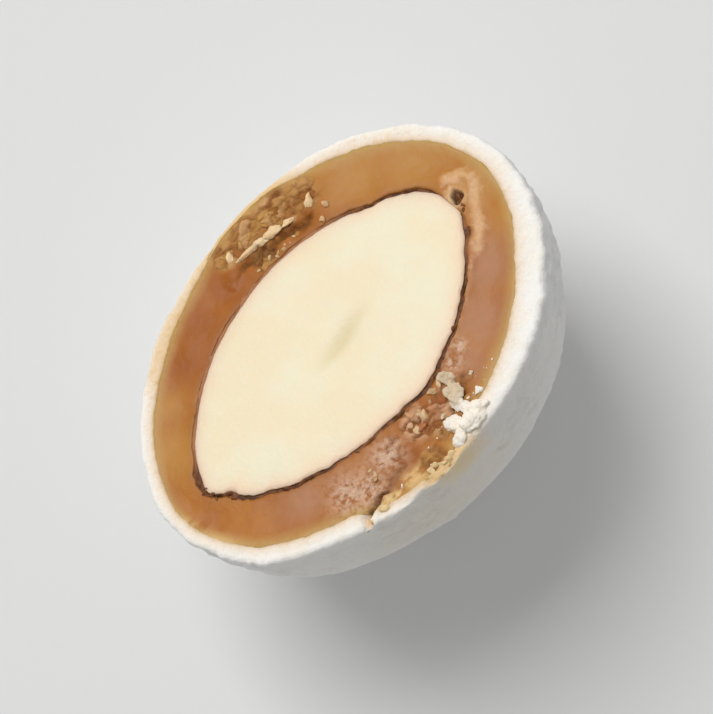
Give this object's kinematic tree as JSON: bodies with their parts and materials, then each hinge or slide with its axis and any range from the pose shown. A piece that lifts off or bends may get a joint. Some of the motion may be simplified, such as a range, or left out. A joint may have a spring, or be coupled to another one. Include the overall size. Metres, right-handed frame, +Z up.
{
  "type": "cut toffee almond sweet",
  "caption": "Half of an egg-shaped sweet, cut across: an almond in its brown skin, thick toffee round it and a white sugar coat, lying cut face up.",
  "frame": {"origin": "centre of the small flat spot that the half rests on", "axes": "+Z up, away from the table; +X along the long way of the cut face; the cut face leans towards -Y, 28 degrees from level"},
  "size_m": [0.0232, 0.0174, 0.0159],
  "materials": {
    "sugar_coat": "dry matte white sugar powder, finely lumpy",
    "toffee": "brown toffee, smooth and slightly glossy where cut, crumbly in patches",
    "almond_skin": "thin dark brown papery skin",
    "almond_kernel": "cream nut flesh, cut smooth and slightly waxy"
  },
  "bodies": {
    "root": {"coat": "sugar_coat", "toffee": "toffee", "skin": "almond_skin", "kernel": "almond_kernel"}
  },
  "joints": []
}
